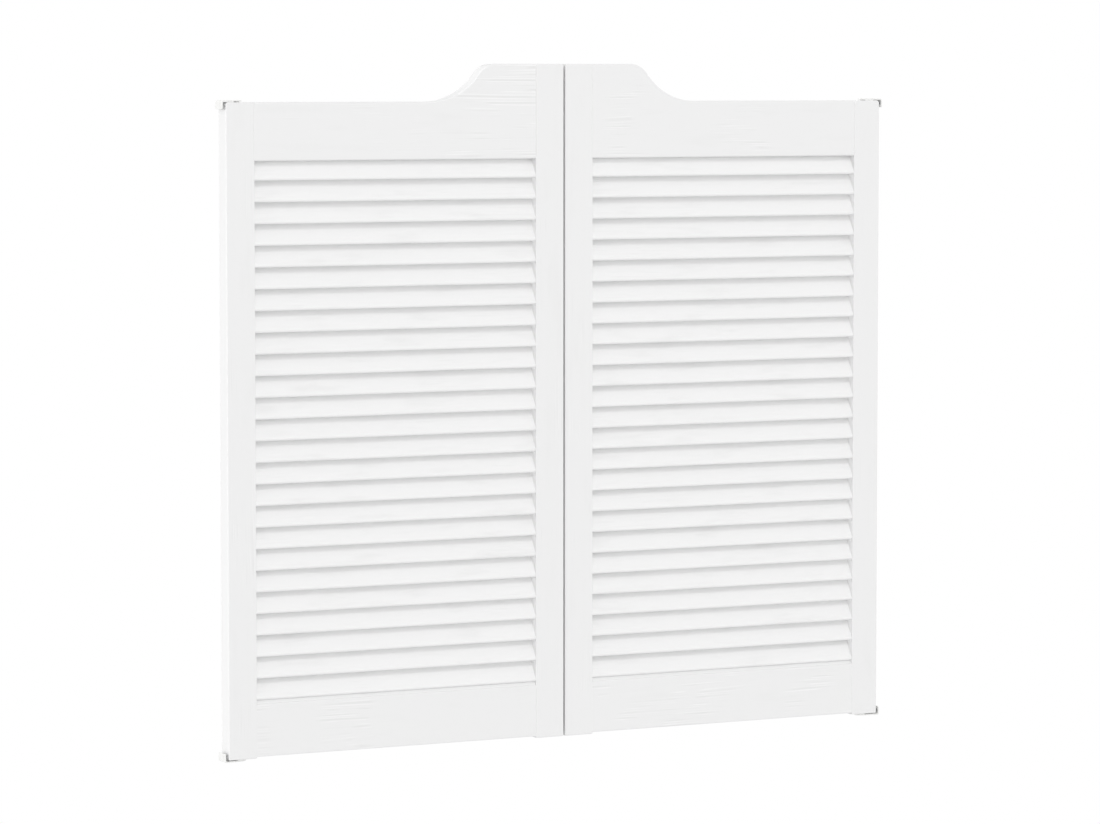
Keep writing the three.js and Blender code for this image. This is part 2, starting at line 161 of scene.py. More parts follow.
class Signal:
    """A shader socket in Python arithmetic: an operator adds a Math node to its tree, and the method
    node adds any other kind."""

    def __init__(self, tree, socket=None):
        self.tree = tree
        self.socket = socket

    def node(self, kind, settings, values, output=0):
        made = self.tree.nodes.new(kind)
        for name, value in settings.items():
            setattr(made, name, value)
        for name, value in values.items():
            if isinstance(value, Signal):
                self.tree.links.new(value.socket, made.inputs[name])
            else:
                made.inputs[name].default_value = value
        return Signal(self.tree, made.outputs[output])

    def math(self, operation, first, second):
        return self.node("ShaderNodeMath", {"operation": operation}, {0: first, 1: second})

    def __add__(self, other):
        return self.math("ADD", self, other)

    __radd__ = __add__

    def __sub__(self, other):
        return self.math("SUBTRACT", self, other)

    def __rsub__(self, other):
        return self.math("SUBTRACT", other, self)

    def __mul__(self, other):
        return self.math("MULTIPLY", self, other)

    __rmul__ = __mul__

    def step(self, low, high):
        """0 below low and 1 above high, with a smooth rise between them."""
        values = {"Value": self, "From Min": low, "From Max": high}
        return self.node("ShaderNodeMapRange", {"interpolation_type": "SMOOTHSTEP"}, values)

    def blend(self, low, high):
        """The colour low where this signal is 0 and high where it is 1."""
        values = {"Factor": self, 6: low, 7: high}
        return self.node("ShaderNodeMix", {"data_type": "RGBA"}, values, 2)

    def noise(self, vector, scale, detail):
        values = {"Vector": vector, "Scale": scale, "Detail": detail}
        return self.node("ShaderNodeTexNoise", {}, values)


def new_material(name):
    """An empty node material: returns it, a starting signal and its Principled shader."""
    material = bpy.data.materials.new(name)
    material.use_nodes = True
    shader = material.node_tree.nodes["Principled BSDF"]
    return material, Signal(material.node_tree), shader


def object_axes(start):
    """The piece's own coordinates, as a vector and as separate x, y and z."""
    place = start.node("ShaderNodeTexCoord", {}, {}, "Object")
    parts = [start.node("ShaderNodeSeparateXYZ", {}, {"Vector": place}, axis) for axis in "XYZ"]
    return place, parts


def finish_shader(start, shader, colour, roughness, height, bump_strength, bump_distance):
    """Links the colour, the roughness and a bump of the height to the shader."""
    values = {"Strength": bump_strength, "Distance": bump_distance, "Height": height}
    bump = start.node("ShaderNodeBump", {}, values)
    links = start.tree.links
    links.new(colour.socket, shader.inputs["Base Color"])
    links.new(roughness.socket, shader.inputs["Roughness"])
    links.new(bump.socket, shader.inputs["Normal"])


# Painted wood: colours, and how often each pattern repeats along, across and through the grain
PAINT_WHITE = (0.850, 0.850, 0.850, 1)
PAINT_IN_GRAIN = (0.760, 0.760, 0.758, 1)
PAINT_THIN = (0.835, 0.835, 0.834, 1)
# Painted highlight: a lighter line beside each grain groove, standing in for light caught on its lip
PAINT_LIP_HIGHLIGHT = (0.915, 0.915, 0.915, 1)
# Slats: the frame's white paint made lighter, painted fill light that brightens the louvers and the
# shade between them
SLAT_WHITE_WITH_PAINTED_FILL = (0.885, 0.885, 0.885, 1)
RING_PACE = (0.055, 1, 0.5)
STREAK_PACE = (12, 85, 40)
PORE_PACE = (16, 460, 460)
MOTTLE_PACE = (9, 45, 45)
BRUSH_PACE = (9, 800, 800)
RING_SCALE = 34
RING_WARP = 9
RING_WARP_SCALE = 0.8
PATCH_SCALE = 7

# Painted wood: the levels between which each pattern sets in
RING_LEVELS = (0.70, 0.99)
# The painted highlight beside each grain groove lies between the next two pairs of levels
LIP_HIGHLIGHT_START_LEVELS = (0.08, 0.34)
LIP_HIGHLIGHT_END_LEVELS = (0.48, 0.72)
STREAK_LEVELS = (0.49, 0.63)
PORE_LEVELS = (0.55, 0.72)
PATCH_LEVELS = (0.54, 0.66)
THIN_LEVELS = (0.52, 0.80)

# Painted wood: where grain is more common, and how strongly each pattern counts
CLOSE_RANGE = (0.06, 0.24)
UPPER_RANGE = (0.3, 0.9)
CLOSE_BIAS = 0.07
UPPER_BIAS = 0.12
FRAME_FACE_DEPTH = 12.6 * MM
FACE_EDGE = 1.2 * MM
STILE_RING_SHARE = 0.45
RAIL_RING_SHARE = 0.90
SLAT_RING_SHARE = 0.20
PORE_SHARE = 0.35
BARE_SHARE = 0.03
GRAIN_TINT = 0.62
PAINT_ROUGHNESS = 0.40
MOTTLE_ROUGHNESS = 0.12
GRAIN_ROUGHNESS = 0.10
BRUSH_HEIGHT = 0.06
PAINT_BUMP = 0.35
PAINT_BUMP_DEPTH = 0.35 * MM


def painted_wood(name, grain_axis, white, ring_share, face_depth):
    """White satin paint on open-grained wood. Growth rings are warped bands across the grain, broken
    into streaks, each with a painted highlight beside it, a lighter line standing in for light caught
    on the groove's lip, and pores are short dashes along the grain. Both show where a slow patch noise
    lets them through, more often close to a rail's meeting end and a stile's foot and most of all high
    up, and only on faces at least face_depth from the middle of the leaf, so edges stay smooth. Brush
    marks run with the grain."""
    material, start, shader = new_material(name)
    place, (x, y, z) = object_axes(start)
    along, across = (z, x) if grain_axis == "Z" else (x, z)

    def grain_space(pace):
        values = {0: along * pace[0], 1: across * pace[1], 2: y * pace[2]}
        return start.node("ShaderNodeCombineXYZ", {}, values)

    ring_settings = {"wave_type": "BANDS", "bands_direction": "Y"}
    ring_values = {"Vector": grain_space(RING_PACE), "Scale": RING_SCALE, "Distortion": RING_WARP,
                   "Detail": 2, "Detail Scale": RING_WARP_SCALE}
    wave = start.node("ShaderNodeTexWave", ring_settings, ring_values, "Fac")
    rings = wave.step(*RING_LEVELS)
    # painted highlight: the band of the ring wave beside each groove, where light would catch the lip
    lip_highlight = wave.step(*LIP_HIGHLIGHT_START_LEVELS) * (1 - wave.step(*LIP_HIGHLIGHT_END_LEVELS))
    streak = start.noise(grain_space(STREAK_PACE), 1, 1).step(*STREAK_LEVELS)
    pores = start.noise(grain_space(PORE_PACE), 1, 2).step(*PORE_LEVELS)
    close = 1 - start.math("ABSOLUTE", along, 0).step(*CLOSE_RANGE)
    broad = start.math("ABSOLUTE", y, 0).step(face_depth - FACE_EDGE, face_depth)
    bias = close * (CLOSE_BIAS + z.step(*UPPER_RANGE) * UPPER_BIAS)
    patch = (start.noise(place, PATCH_SCALE, 2) + bias).step(*PATCH_LEVELS) * broad
    mottle = start.noise(grain_space(MOTTLE_PACE), 1, 3)
    brush = start.noise(grain_space(BRUSH_PACE), 1, 2)
    shown = patch * (1 - BARE_SHARE) + BARE_SHARE
    grain = (rings * streak * ring_share + pores * PORE_SHARE) * shown
    body = mottle.step(*THIN_LEVELS).blend(white, PAINT_THIN)
    # painted highlight: lighter colour beside the grain grooves, standing in for light on their lips
    body = (lip_highlight * streak * patch * ring_share).blend(body, PAINT_LIP_HIGHLIGHT)
    colour = (grain * GRAIN_TINT).blend(body, PAINT_IN_GRAIN)
    roughness = PAINT_ROUGHNESS + mottle * MOTTLE_ROUGHNESS + grain * GRAIN_ROUGHNESS
    height = brush * BRUSH_HEIGHT - grain
    finish_shader(start, shader, colour, roughness, height, PAINT_BUMP, PAINT_BUMP_DEPTH)
    return material


# Bracket enamel
ENAMEL_WHITE = (0.86, 0.86, 0.85, 1)
ENAMEL_THIN = (0.80, 0.80, 0.785, 1)
ENAMEL_THIN_LEVELS = (0.40, 0.72)
ENAMEL_PEEL_SCALE = 1400
ENAMEL_CLOUD_SCALE = 90
ENAMEL_ROUGHNESS = 0.28
ENAMEL_CLOUD_ROUGHNESS = 0.16
ENAMEL_BUMP = 0.25
ENAMEL_BUMP_DEPTH = 0.06 * MM


def bracket_enamel():
    """White baked enamel on bent strip and pins: orange peel from fine noise, and slightly warmer
    where it lies thin."""
    material, start, shader = new_material("bracket_enamel")
    place, _ = object_axes(start)
    peel = start.noise(place, ENAMEL_PEEL_SCALE, 1)
    cloud = start.noise(place, ENAMEL_CLOUD_SCALE, 3)
    colour = cloud.step(*ENAMEL_THIN_LEVELS).blend(ENAMEL_WHITE, ENAMEL_THIN)
    roughness = ENAMEL_ROUGHNESS + cloud * ENAMEL_CLOUD_ROUGHNESS
    finish_shader(start, shader, colour, roughness, peel, ENAMEL_BUMP, ENAMEL_BUMP_DEPTH)
    return material


# Plated steel of the screws and springs
STEEL_BRIGHT = (0.62, 0.63, 0.65, 1)
STEEL_DULL = (0.44, 0.45, 0.47, 1)
STEEL_DULL_LEVELS = (0.35, 0.70)
STEEL_CLOUD_SCALE = 220
STEEL_SIDE_PACE = 40
SCREW_MARK_PACE = 2400
SPRING_MARK_PACE = 600
STEEL_ROUGHNESS = 0.22
STEEL_CLOUD_ROUGHNESS = 0.14
STEEL_MARK_ROUGHNESS = 0.12
STEEL_BUMP = 0.2
STEEL_BUMP_DEPTH = 0.03 * MM


def plated_steel(name, mark_pace):
    """Plated steel: fine level tool marks stacked closely in height, and cloudy plating that changes
    tone and gloss."""
    material, start, shader = new_material(name)
    shader.inputs["Metallic"].default_value = 1
    place, (x, y, z) = object_axes(start)
    mark_values = {0: x * STEEL_SIDE_PACE, 1: y * STEEL_SIDE_PACE, 2: z * mark_pace}
    marks = start.noise(start.node("ShaderNodeCombineXYZ", {}, mark_values), 1, 3)
    cloud = start.noise(place, STEEL_CLOUD_SCALE, 3)
    colour = cloud.step(*STEEL_DULL_LEVELS).blend(STEEL_BRIGHT, STEEL_DULL)
    roughness = STEEL_ROUGHNESS + cloud * STEEL_CLOUD_ROUGHNESS + marks * STEEL_MARK_ROUGHNESS
    finish_shader(start, shader, colour, roughness, marks, STEEL_BUMP, STEEL_BUMP_DEPTH)
    return material


# Closed surfaces

def rounded_rings(base, axis_a, axis_b, low_a, high_a, low_b, high_b, radius):
    """Rounded rectangles along a path. At each station the four corners are quarter circles, in the
    order high a high b, low a high b, low a low b, high a low b, each of its own radius, and the sides
    between them are straight: point = base + a * axis_a + b * axis_b."""
    count = len(base)
    spread = [np.broadcast_to(v, count)[:, None, None] for v in (low_a, high_a, low_b, high_b)]
    low_a, high_a, low_b, high_b = spread
    radius = np.broadcast_to(radius, (count, 4))[:, :, None]
    right = np.array([1, 0, 0, 1])[None, :, None]
    upper = np.array([1, 1, 0, 0])[None, :, None]
    quarter = np.arange(4)[None, :, None] * np.pi / 2
    angle = quarter + np.linspace(0, np.pi / 2, ARC_STEPS + 1)[None, None, :]
    arc_a = np.where(right, high_a - radius, low_a + radius) + radius * np.cos(angle)
    arc_b = np.where(upper, high_b - radius, low_b + radius) + radius * np.sin(angle)
    share = (np.arange(1, FLAT_STEPS) / FLAT_STEPS)[None, None, :]

    def with_sides(arc):
        end = arc[:, :, -1:]
        following = np.roll(arc[:, :, :1], -1, axis=1)
        return np.concatenate([arc, end + (following - end) * share], axis=2).reshape(count, -1, 1)

    step_a = with_sides(arc_a) * axis_a[:, None, :]
    step_b = with_sides(arc_b) * axis_b[:, None, :]
    return base[:, None, :] + step_a + step_b


def circle_rings(centre, angles, radii, heights):
    """Circles about a vertical axis: x and y from the radius at each angle, z from the height of the
    ring."""
    radii = np.asarray(radii)[:, None]
    x = centre[0] + radii * np.cos(angles)
    y = centre[1] + radii * np.sin(angles)
    z = np.broadcast_to(np.asarray(heights)[:, None], x.shape)
    return np.stack([x, y, z], axis=-1)


def edge_inset(depth, radius):
    """How far a quarter-round edge of the radius has drawn in at a depth below its end."""
    reach = np.clip(radius - depth, 0, radius)
    return radius - np.sqrt(radius ** 2 - reach ** 2)


def end_stations(start, end, start_radius, end_radius):
    """Places along a piece: close together by a cosine rule over each rounded end, and even between
    them."""
    turn = np.linspace(0, np.pi / 2, END_STEPS)
    low = start + start_radius * (1 - np.cos(turn))
    high = end - end_radius * (1 - np.cos(turn[::-1]))
    middle = np.linspace(low[-1], high[0], RUN_STEPS + 1)[1:-1]
    return np.concatenate([low, middle, high])


def skin(name, rings, material, body, nodes):
    """A closed mesh over a stack of rings: quads join ring to ring, and a flat cap closes each end."""
    count, around, _ = rings.shape
    first = np.arange(count - 1)[:, None] * around
    here = np.arange(around)[None, :]
    after = np.roll(here, -1, axis=1)
    corners = [first + here, first + after, first + around + after, first + around + here]
    quads = np.stack(corners, axis=-1).reshape(-1, 4).tolist()
    caps = [here[0][::-1].tolist(), (here[0] + (count - 1) * around).tolist()]
    mesh = bpy.data.meshes.new(name)
    mesh.from_pydata(rings.reshape(-1, 3).tolist(), [], quads + caps)
    mesh.shade_smooth()
    mesh.set_sharp_from_angle(angle=SMOOTH_ANGLE)
    mesh.materials.append(material)
    piece = bpy.data.objects.new(name, mesh)
    bpy.context.collection.objects.link(piece)
    weighted = piece.modifiers.new("even_shading", "WEIGHTED_NORMAL")
    weighted.keep_sharp = True
    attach(piece, body)
    if nodes:
        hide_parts(*nodes)


def repeat_axis(axis, count):
    """The same axis at every station."""
    return np.broadcast_to(np.asarray(axis, float), (count, 3))


# Stiles

def stile_rings(low, high, free_side, outer, louver_top):
    """A stile as rounded rectangles up its length. Near the top its free edge draws in by the corner
    radius and its other faces by the arris radius; at the foot all four draw in a little. Its inner
    arris is small along the louvers and runs out to a larger one beside the top rail."""
    run_out = louver_top + np.array([-0.5, 0.5]) * ARRIS_RUN_OUT
    z = np.sort(np.append(end_stations(low[2], high[2], FOOT_RADIUS, TOP_CORNER_RADIUS), run_out))
    foot = edge_inset(z - low[2], FOOT_RADIUS)
    corner = edge_inset(high[2] - z, TOP_CORNER_RADIUS) + foot
    crown = edge_inset(high[2] - z, ARRIS_RADIUS) + foot
    left = low[0] + (corner if free_side < 0 else crown)
    right = high[0] - (corner if free_side > 0 else crown)
    count = len(z)
    base = np.stack([np.zeros(count), np.zeros(count), z], axis=-1)
    axes = repeat_axis((1, 0, 0), count), repeat_axis((0, 1, 0), count)
    inner = np.interp(z, run_out, [LOUVER_ARRIS_RADIUS, JOINT_ARRIS_RADIUS])
    outer = np.full(count, outer)
    radii = (outer, inner, inner, outer) if free_side > 0 else (inner, outer, outer, inner)
    radii = np.stack(radii, axis=-1)
    return rounded_rings(base, *axes, left, right, low[1] + crown, high[1] - crown, radii)


def bored(rings, low, high, bottom_radius, bottom_depth, top_radius, top_depth):
    """The same stile with a round blind bore up from its foot and another down from its top: circles
    at the same angles as the ring's points carry the skin inwards at each end."""
    centre = (low + high) / 2
    angles = np.arctan2(rings[0, :, 1] - centre[1], rings[0, :, 0] - centre[0])
    foot_levels = [low[2] + bottom_depth, low[2]]
    foot = circle_rings(centre, angles, [bottom_radius, bottom_radius], foot_levels)
    top = circle_rings(centre, angles, [top_radius, top_radius], [high[2], high[2] - top_depth])
    return np.concatenate([foot, rings, top])


def make_stiles(side, material):
    sign = SIDES[side]
    body = f"{side}_leaf"
    low, high = (np.array(corner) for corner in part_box(f"{side}_hinge_stile"))
    spring_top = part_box(f"{side}_return_spring")[1][2]
    bore_radius = BOSS_RADIUS + RUNNING_CLEARANCE
    bore_depth = spring_top + END_CLEARANCE - low[2]
    pin_radius = PIN_RADIUS + RUNNING_CLEARANCE
    louver_top = high[2] - TOP_RAIL_HEIGHT
    plain = stile_rings(low, high, sign, ARRIS_RADIUS, louver_top)
    rings = bored(plain, low, high, bore_radius, bore_depth, pin_radius, PIN_LENGTH + END_CLEARANCE)
    node = f"{side}_hinge_stile"
    skin(f"{node}_wood", rings, material, body, [node])
    node = f"{side}_meeting_stile"
    low, high = (np.array(corner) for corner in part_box(node))
    rings = stile_rings(low, high, -sign, MEETING_ARRIS_RADIUS, louver_top)
    skin(f"{node}_wood", rings, material, body, [node])


# Rails

def shoulder_line(from_meeting, shoulder, crown):
    """Top edge of the rail by distance from the meeting edge: level at the crown, down an arc of the
    upper radius, on down the tangent arc of the lower radius, and level at the shoulder."""
    rise = crown - shoulder
    radii = OGEE_UPPER_RADIUS + OGEE_LOWER_RADIUS
    sweep = math.acos(1 - rise / radii)
    past = np.clip(from_meeting - OGEE_START, 0, radii * math.sin(sweep))
    upper_part = np.minimum(past, OGEE_UPPER_RADIUS * math.sin(sweep))
    convex = crown - OGEE_UPPER_RADIUS + np.sqrt(OGEE_UPPER_RADIUS ** 2 - upper_part ** 2)
    left_over = radii * math.sin(sweep) - past
    lower_part = np.minimum(left_over, OGEE_LOWER_RADIUS * math.sin(sweep))
    concave = shoulder + OGEE_LOWER_RADIUS - np.sqrt(OGEE_LOWER_RADIUS ** 2 - lower_part ** 2)
    return np.where(past < OGEE_UPPER_RADIUS * math.sin(sweep), convex, concave)


def rail_rings(x, low_y, high_y, low_z, high_z, radii):
    """A rail as rounded rectangles along X: at each x the section spans low_y to high_y and low_z to
    high_z, with a quarter circle at each corner."""
    count = len(x)
    base = np.stack([x, np.zeros(count), np.zeros(count)], axis=-1)
    axes = repeat_axis((0, 1, 0), count), repeat_axis((0, 0, 1), count)
    return rounded_rings(base, *axes, low_y, high_y, low_z, high_z, radii)


def rounded_outline(corners, radii):
    """A closed outline with a tangent arc of its own radius at each corner: the arc's points turn
    evenly about a centre on the corner's bisector, from the one side's tangent point to the other's."""
    corners = np.asarray(corners)
    radii = np.asarray(radii)[:, None]
    back = np.roll(corners, 1, axis=0) - corners
    ahead = np.roll(corners, -1, axis=0) - corners
    back = back / np.linalg.norm(back, axis=1, keepdims=True)
    ahead = ahead / np.linalg.norm(ahead, axis=1, keepdims=True)
    half = np.arccos(np.sum(back * ahead, axis=1, keepdims=True)) / 2
    bisector = (back + ahead) / np.linalg.norm(back + ahead, axis=1, keepdims=True)
    centre = corners + bisector * radii / np.sin(half)
    spoke_in = corners + back * radii / np.tan(half) - centre
    spoke_out = corners + ahead * radii / np.tan(half) - centre
    turn = (np.pi - 2 * half)[:, None]
    share = np.linspace(0, 1, ARC_STEPS + 1)[None, :, None]
    arc = spoke_in[:, None] * np.sin((1 - share) * turn) + spoke_out[:, None] * np.sin(share * turn)
    return (centre[:, None] + arc / np.sin(turn)).reshape(-1, 2)


def sloped_rail_rings(x, low_y, high_y, foot, slat_height):
    """The bottom rail: one section carried along X, low at the front and sloped behind that edge,
    parallel to the last slat's underside, up to a higher back."""
    front_top = foot + BOTTOM_RAIL_HEIGHT
    back_top = front_top + SLOPE_RISE
    bottom = foot + RAIL_FOOT_RISE
    level = np.array([back_top, front_top])
    offset = SLAT_THICKNESS / 2 - SLAT_BED
    slope = (offset - (slat_height - level) * math.sin(SLAT_TILT)) / math.cos(SLAT_TILT)
    section = [((high_y, back_top), RAIL_FRONT_RADIUS), ((slope[0], back_top), SLOPE_RADIUS),
               ((slope[1], front_top), SLOPE_RADIUS), ((low_y, front_top), RAIL_FRONT_RADIUS),
               ((low_y, bottom), FOOT_RADIUS), ((high_y, bottom), FOOT_RADIUS)]
    corners, radii = zip(*section)
    y, z = rounded_outline(corners, radii).T
    shape = (len(x), len(y))
    return np.stack([np.broadcast_to(v, shape) for v in (x[:, None], y, z)], axis=-1)


def make_rails(side, material):
    sign = SIDES[side]
    body = f"{side}_leaf"
    hinge = np.array(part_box(f"{side}_hinge_stile"))
    meeting = np.array(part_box(f"{side}_meeting_stile"))
    inner_edges = sorted([hinge[(1 - sign) // 2, 0], meeting[(1 + sign) // 2, 0]])
    start = inner_edges[0] - RAIL_ENTRY
    end = inner_edges[1] + RAIL_ENTRY
    meeting_edge = meeting[(1 - sign) // 2, 0]
    low_y, high_y = hinge[:, 1]
    x = np.linspace(start, end, RUN_STEPS)
    ogee_end = OGEE_START + OGEE_UPPER_RADIUS + OGEE_LOWER_RADIUS
    ogee = meeting_edge + sign * np.linspace(OGEE_START, ogee_end, OGEE_STEPS)
    top_x = np.unique(np.concatenate([x, ogee]))
    top_edge = shoulder_line(np.abs(top_x - meeting_edge), hinge[1, 2], meeting[1, 2])
    louver_top = hinge[1, 2] - TOP_RAIL_HEIGHT
    faces = low_y + TOP_RAIL_SETBACK, high_y - TOP_RAIL_SETBACK
    rings = rail_rings(top_x, *faces, louver_top, top_edge, RAIL_ARRIS_RADIUS)
    node = f"{side}_top_rail"
    skin(f"{node}_wood", rings, material, body, [node])
    node = f"{side}_bottom_rail"
    faces = low_y + BOTTOM_RAIL_SETBACK, high_y - BOTTOM_RAIL_SETBACK
    rings = sloped_rail_rings(x, *faces, hinge[0, 2], slat_middle(side, SLAT_COUNT))
    skin(f"{node}_wood", rings, material, body, [node])


# Louvers

def slat_rings(x, height):
    """A flat strip with round noses, tilted about X so that its lower nose is at the front: its section
    runs half a width each way along the tilted line and half a thickness each way across it."""
    count = len(x)
    base = np.stack([x, np.zeros(count), np.full(count, height)], axis=-1)
    along = repeat_axis((0, math.sin(SLAT_TILT), math.cos(SLAT_TILT)), count)
    across = repeat_axis((0, -math.cos(SLAT_TILT), math.sin(SLAT_TILT)), count)
    half = SLAT_WIDTH / 2
    thick = SLAT_THICKNESS / 2
    return rounded_rings(base, along, across, -half, half, -thick, thick, thick)


def slat_middle(side, number):
    """Height of a slat's middle: the CAD has slats 2 to 24 as nodes, and the first and last follow at
    the same pitch."""
    second, third = (np.mean(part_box(f"{side}_slat_{n:02d}"), axis=0)[2] for n in (2, 3))
    return second + (2 - number) * (second - third)


def make_slats(side, material):
    body = f"{side}_leaf"
    stiles = [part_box(f"{side}_{name}") for name in ("hinge_stile", "meeting_stile")]
    left_stile, right_stile = sorted(stiles, key=lambda pair: pair[0][0])
    x = np.linspace(left_stile[1][0] - SLAT_ENTRY, right_stile[0][0] + SLAT_ENTRY, RUN_STEPS)
    for number in range(1, SLAT_COUNT + 1):
        node = f"{side}_slat_{number:02d}"
        nodes = [node] if 1 < number < SLAT_COUNT else []
        rings = slat_rings(x, slat_middle(side, number))
        skin(f"{node}_wood", rings, material, body, nodes)


# Pivot brackets

def strip_rings(side, level, low, high, pivot_x):
    """Bent strip: its outer face runs along the widening arm from a half round about the pivot, round a
    quarter circle and along the leg to two round corners; each station is a thin rounded rectangle
    across that line."""
    sign = SIDES[side]
    half = (high[1] - low[1]) / 2
    jamb = low[0] if sign < 0 else high[0]
    arm_length = abs(jamb - pivot_x) - BEND_RADIUS
    leg_length = LEG_LENGTH - BEND_RADIUS
    turn = np.linspace(np.pi / 2, 0, 2 * END_STEPS)
    round_end = ARM_WIDTH / 2 * np.sin(turn)
    arm_width = np.maximum(ARM_WIDTH / 2 * np.cos(turn), 2 * STRIP_EDGE_RADIUS)
    bend = np.linspace(0, np.pi / 2, END_STEPS)
    leg_end = leg_length - STRIP_CORNER_RADIUS + STRIP_CORNER_RADIUS * np.sin(bend)
    leg_width = half - STRIP_CORNER_RADIUS + STRIP_CORNER_RADIUS * np.cos(bend)
    bend_out = arm_length + BEND_RADIUS * np.sin(bend)
    out = np.concatenate([-round_end, bend_out, np.full(END_STEPS, arm_length + BEND_RADIUS)])
    rise = np.concatenate([0 * round_end, BEND_RADIUS * (1 - np.cos(bend)), BEND_RADIUS + leg_end])
    tilt = np.concatenate([0 * round_end, bend, np.full(END_STEPS, np.pi / 2)])
    width = np.concatenate([arm_width, np.full(END_STEPS, half), leg_width])
    count = len(out)
    floor = low[2] if level > 0 else high[2]
    middle_y = (low[1] + high[1]) / 2
    base = np.stack([pivot_x + sign * out, np.full(count, middle_y), floor + level * rise], axis=-1)
    heading = np.stack([sign * np.cos(tilt), np.zeros(count), level * np.sin(tilt)], axis=-1)
    axis_a = repeat_axis((0, 1, 0), count)
    axis_b = np.cross(heading, axis_a)
    inner = STRIP_THICKNESS if sign * level > 0 else 0
    outer = inner - STRIP_THICKNESS
    return rounded_rings(base, axis_a, axis_b, -width, width, outer, inner, STRIP_EDGE_RADIUS)


def pivot_rings(centre, level, outline):
    """A turned pin: its outline of radius against height is carried round the pivot axis."""
    angles = np.linspace(0, 2 * np.pi, PIVOT_FACETS, endpoint=False)
    radii, heights = np.array(outline).T
    rings = circle_rings(centre, angles, radii, centre[2] + level * heights)
    return rings if level > 0 else rings[::-1]


def screw_rings(centre, inward):
    """A countersunk head about X: a low dome that falls with the radius squared, less a cross recess
    where the point is close to either arm's line and inside the recess's reach."""
    angles = np.linspace(0, 2 * np.pi, SCREW_FACETS, endpoint=False)[None, :]
    radius = np.linspace(1, SCREW_CORE_SHARE, SCREW_STEPS)[:, None] * SCREW_RADIUS
    y = radius * np.cos(angles)
    z = radius * np.sin(angles)
    arm = np.minimum(np.abs(y), np.abs(z))
    inside = np.clip((RECESS_HALF_WIDTH - arm) / (RECESS_SOFT_SHARE * RECESS_HALF_WIDTH), 0, 1)
    inside = inside * np.clip((RECESS_REACH - radius) / (RECESS_SOFT_SHARE * RECESS_REACH), 0, 1)
    out = SCREW_DOME * (1 - (radius / SCREW_RADIUS) ** 2) - RECESS_DEPTH * inside
    out = np.concatenate([np.full((1, out.shape[1]), -SCREW_SEAT), out])
    y = np.concatenate([y[:1], y])
    z = np.concatenate([z[:1], z])
    rings = np.stack([centre[0] + inward * out, centre[1] + y, centre[2] + z], axis=-1)
    return rings if inward > 0 else rings[:, ::-1]


def make_brackets(side, enamel, steel):
    sign = SIDES[side]
    body = "jamb_hardware"
    stile = np.array(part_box(f"{side}_hinge_stile"))
    pivot_x = stile[:, 0].mean()
    pin_end = STRIP_THICKNESS + PIN_LENGTH
    flange_foot = STRIP_THICKNESS / 2
    outlines = {
        "top": [(PIN_CORE_RADIUS, -RIVET_RISE), (PIN_RADIUS - RIVET_RISE, -RIVET_RISE), (PIN_RADIUS, 0),
                (PIN_RADIUS, pin_end - PIN_CHAMFER), (PIN_RADIUS - PIN_CHAMFER, pin_end),
                (PIN_CORE_RADIUS, pin_end)],
        "bottom": [(PIN_CORE_RADIUS, flange_foot), (FLANGE_RADIUS, flange_foot),
                   (FLANGE_RADIUS, FLANGE_TOP), (BOSS_RADIUS, FLANGE_TOP), (BOSS_RADIUS, BOSS_TOP),
                   (ARBOR_RADIUS, BOSS_TOP), (ARBOR_RADIUS, ARBOR_TOP - PIN_CHAMFER),
                   (ARBOR_RADIUS - PIN_CHAMFER, ARBOR_TOP), (PIN_CORE_RADIUS, ARBOR_TOP)],
    }
    for place, level in (("bottom", 1), ("top", -1)):
        node = f"{side}_{place}_bracket"
        low, high = (np.array(corner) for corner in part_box(node))
        rings = strip_rings(side, level, low, high, pivot_x)
        skin(f"{node}_strip", rings, enamel, body, [node])
        floor = low[2] if level > 0 else high[2]
        pin = pivot_rings((pivot_x, 0, floor), level, outlines[place])
        skin(f"{node}_pivot", pin, enamel, body, [])
        jamb = low[0] if sign < 0 else high[0]
        height = floor + level * (LEG_LENGTH - SCREW_END_DISTANCE)
        for number, y in enumerate((-SCREW_SPACING / 2, SCREW_SPACING / 2), 1):
            centre = (jamb - sign * STRIP_THICKNESS, y, height)
            rings = screw_rings(centre, -sign)
            skin(f"{node}_screw_{number}", rings, steel, body, [])


# Studio

def make_floor():
    """A round floor below the doors: white paper that takes their shadow, and fades to plain white
    further out."""
    angles = np.linspace(0, 2 * np.pi, FLOOR_FACETS, endpoint=False)
    points = circle_rings((0, 0), angles, [FLOOR_RADIUS], [-FLOOR_DROP])[0].tolist()
    mesh = bpy.data.meshes.new("studio_floor")
    mesh.from_pydata(points, [], [list(range(len(points)))])
    material, start, shader = new_material("studio_paper")
    place, (x, y, _) = object_axes(start)
    shader.inputs["Roughness"].default_value = 1
    shader.inputs["Specular IOR Level"].default_value = 0
    paper = start.noise(place, PAPER_SCALE, 2).blend(PAPER_DARK, PAPER_LIGHT)
    start.tree.links.new(paper.socket, shader.inputs["Base Color"])
    deep = y * (1 / FLOOR_FADE_DEPTH)
    away = start.math("SQRT", x * x + deep * deep, 0)
    fade = away.step(FLOOR_FADE_START, FLOOR_FADE_END) * seen_ray(start)
    white = start.node("ShaderNodeEmission", {}, {"Color": PLAIN_WHITE, "Strength": 1})
    output = start.tree.nodes["Material Output"]
    plain = Signal(start.tree, shader.outputs["BSDF"])
    mixed = start.node("ShaderNodeMixShader", {}, {"Fac": fade, 1: plain, 2: white})
    start.tree.links.new(mixed.socket, output.inputs["Surface"])
    mesh.materials.append(material)
    floor = bpy.data.objects.new("studio_floor", mesh)
    bpy.context.collection.objects.link(floor)


def seen_ray(start):
    """1 for camera, glossy and transmission rays, which see the plain white background, and 0 for the
    rest."""
    names = ("Is Camera Ray", "Is Glossy Ray", "Is Transmission Ray")
    camera, glossy, through = (start.node("ShaderNodeLightPath", {}, {}, name) for name in names)
    return start.math("MINIMUM", camera + glossy + through, 1)


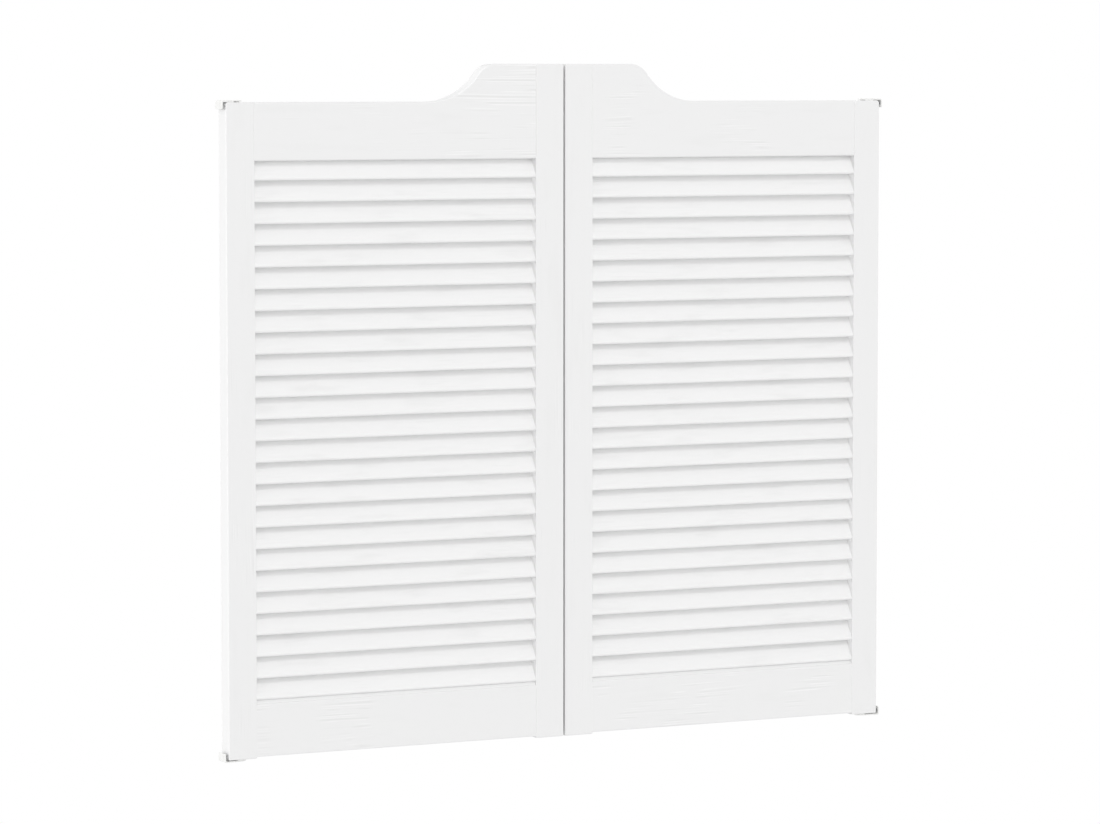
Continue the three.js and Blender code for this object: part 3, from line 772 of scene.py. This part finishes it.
def make_light():
    """White surroundings: plain white where they are seen, a level below that where they light the
    doors, with a soft lamp high in front, a wide one low in front and a narrow one low on the left."""
    world = bpy.data.worlds.new("studio_white")
    world.use_nodes = True
    bpy.context.scene.world = world
    start = Signal(world.node_tree)
    strength = seen_ray(start) * (1 - AMBIENT_STRENGTH) + AMBIENT_STRENGTH
    background = world.node_tree.nodes["Background"]
    background.inputs["Color"].default_value = PLAIN_WHITE
    world.node_tree.links.new(strength.socket, background.inputs["Strength"])
    add_lamp("soft_key", KEY_STRENGTH, KEY_TURN, KEY_RISE, KEY_SPREAD)
    add_lamp("front_fill", FILL_STRENGTH, FILL_TURN, FILL_RISE, FILL_SPREAD)
    add_lamp("side_rim", RIM_STRENGTH, RIM_TURN, RIM_RISE, RIM_SPREAD)


def add_lamp(name, strength, turn, rise, spread):
    """A far soft lamp: turn is from straight in front round to the right, rise above the level, spread
    its width. At strength 1 a white surface that faces it renders white."""
    lamp = bpy.data.lights.new(name, "SUN")
    lamp.energy = strength * math.pi
    lamp.angle = spread
    place = bpy.data.objects.new(name, lamp)
    place.rotation_euler = (math.pi / 2 - rise, 0, turn)
    bpy.context.collection.objects.link(place)


def make_camera():
    camera = bpy.data.cameras.new("photo_view")
    camera.sensor_width = SENSOR_MM
    camera.sensor_fit = "HORIZONTAL"
    camera.lens = LENS_MM
    viewer = bpy.data.objects.new("photo_view", camera)
    viewer.location = CAMERA_PLACE
    viewer.rotation_euler = (math.pi / 2 - CAMERA_DROP, 0, -CAMERA_YAW)
    bpy.context.collection.objects.link(viewer)
    bpy.context.scene.camera = viewer


make_camera()
make_light()
make_floor()
bpy.context.scene.view_settings.view_transform = "Standard"

stile_paint = painted_wood("stile_paint", "Z", PAINT_WHITE, STILE_RING_SHARE, FRAME_FACE_DEPTH)
rail_paint = painted_wood("rail_paint", "X", PAINT_WHITE, RAIL_RING_SHARE, FRAME_FACE_DEPTH)
# the slats take the lighter white: painted fill light in the shaded louvers
slat_paint = painted_wood("slat_paint", "X", SLAT_WHITE_WITH_PAINTED_FILL, SLAT_RING_SHARE, 0)
enamel = bracket_enamel()
screw_steel = plated_steel("screw_steel", SCREW_MARK_PACE)
spring_wire = plated_steel("spring_wire", SPRING_MARK_PACE)

for side in SIDES:
    make_stiles(side, stile_paint)
    make_rails(side, rail_paint)
    make_slats(side, slat_paint)
    make_brackets(side, enamel, screw_steel)
    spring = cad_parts[f"{side}_return_spring"]
    spring.data.materials.clear()
    spring.data.materials.append(spring_wire)
